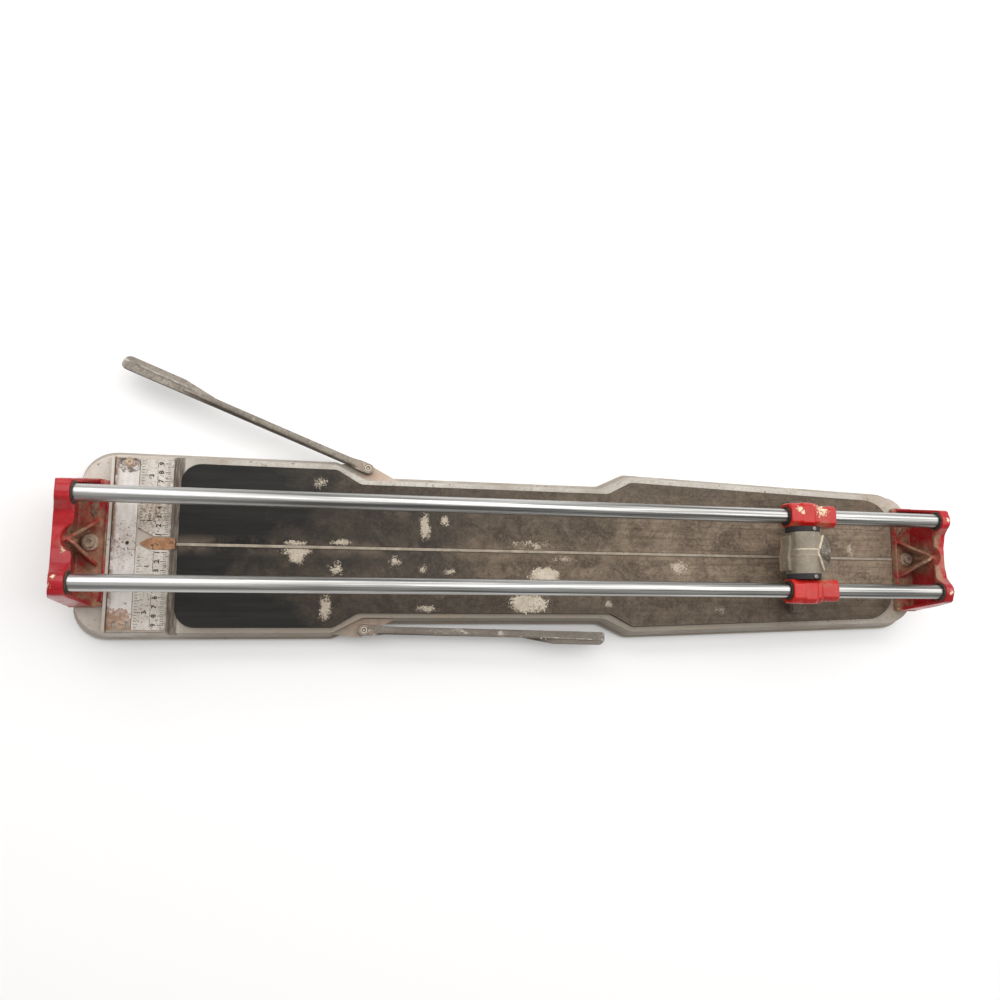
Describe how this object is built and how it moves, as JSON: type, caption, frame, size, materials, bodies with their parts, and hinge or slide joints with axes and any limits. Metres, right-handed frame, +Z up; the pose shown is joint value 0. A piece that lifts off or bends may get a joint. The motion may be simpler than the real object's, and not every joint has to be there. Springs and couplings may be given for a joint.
{
  "type": "tile cutter",
  "caption": "Manual tile cutter: cast base with rubber bed and breaking rib, scale end, rails on stands, sliding head with scoring wheel and breaker foot, and swing-out support arms.",
  "frame": {"origin": "the middle of the bench face: the centre of the underside of the middle foot strip", "axes": "+X along the rails, from the end with the scales to the end where the carriage is stored; +Y towards the arm that is stored swung out; +Z up from the bench"},
  "size_m": [1.072, 0.3287, 0.1287],
  "materials": {
    "cast_base": "weathered cast metal with clay dust",
    "bed_rubber": "ribbed by wear, dusty",
    "rib_steel": "dull, dusty",
    "foot_rubber": "matt",
    "plated_bar": "plated, pitted with rust",
    "scale_metal": "printed scale, dirty",
    "rusty_tongue": "brown rust and clay",
    "red_paint": "gloss red, worn",
    "rusty_hardware": "rusty and dusty",
    "polished_rail": "polished with fine lengthwise scratches",
    "screw_steel": "dull zinc",
    "worn_screws": "worn",
    "ring_rubber": "matt",
    "slider_paint": "gloss red, chipped",
    "dusty_rubber": "matt, covered in clay dust",
    "bush_bronze": "plain",
    "cheek_plastic": "scuffed",
    "grey_casting": "rough cast grey",
    "holder_steel": "dull",
    "carbide": "ground edge",
    "foot_iron": "dark, dusty",
    "pad_rubber": "matt",
    "arm_metal": "weathered, scraped"
  },
  "bodies": {
    "base": {"base_casting": "cast_base", "rear_pad": "bed_rubber", "front_pad": "bed_rubber", "breaking_rib": "rib_steel", "foot_strips": "foot_rubber", "fence_bar": "plated_bar", "fence_screws": "rusty_hardware", "rear_scale_plate": "scale_metal", "front_scale_plate": "scale_metal", "centre_tongue": "rusty_tongue", "left_stand": "red_paint", "right_stand": "red_paint", "stand_washers": "rusty_hardware", "stand_bolts": "rusty_hardware", "stand_nuts": "rusty_hardware", "rear_rail": "polished_rail", "front_rail": "polished_rail", "rail_screws": "screw_steel", "rail_bumpers": "dusty_rubber", "arm_washers": "screw_steel", "arm_screws": "worn_screws"},
    "carriage": {"rear_slider": "slider_paint", "front_slider": "slider_paint", "slider_bushes": "bush_bronze", "wiper_rings": "ring_rubber", "rear_cheek": "cheek_plastic", "front_cheek": "cheek_plastic", "cheek_screws": "screw_steel"},
    "head": {"carriage_body": "grey_casting", "wheel_holder": "holder_steel", "holder_screw": "screw_steel", "wheel_axle": "screw_steel", "breaker_foot": "foot_iron", "foot_screws": "screw_steel", "breaker_pads": "pad_rubber"},
    "wheel": {"scoring_wheel": "carbide"},
    "rear_arm": {"rear_arm": "arm_metal"},
    "front_arm": {"front_arm": "arm_metal"}
  },
  "joints": [
    {"name": "carriage_slide", "type": "slide", "parent": "base", "child": "carriage", "axis": [1, 0, 0], "range_m": [-0.745, 0.125]},
    {"name": "head_tilt", "type": "hinge", "parent": "carriage", "child": "head", "pos_m": [0.3155, 0, 0.1063], "axis": [0, 1, 0], "range_deg": [-30, 8]},
    {"name": "wheel_spin", "type": "hinge", "parent": "head", "child": "wheel", "pos_m": [0.3275, 0, 0.055], "axis": [0, 1, 0], "continuous": true},
    {"name": "rear_arm_swing", "type": "hinge", "parent": "base", "child": "rear_arm", "pos_m": [-0.2143, 0.0957, 0.0255], "axis": [0, 0, 1], "range_deg": [-156.5, 3]},
    {"name": "front_arm_swing", "type": "hinge", "parent": "base", "child": "front_arm", "pos_m": [-0.2143, -0.0957, 0.0255], "axis": [0, 0, 1], "range_deg": [-155, 1.5]}
  ]
}
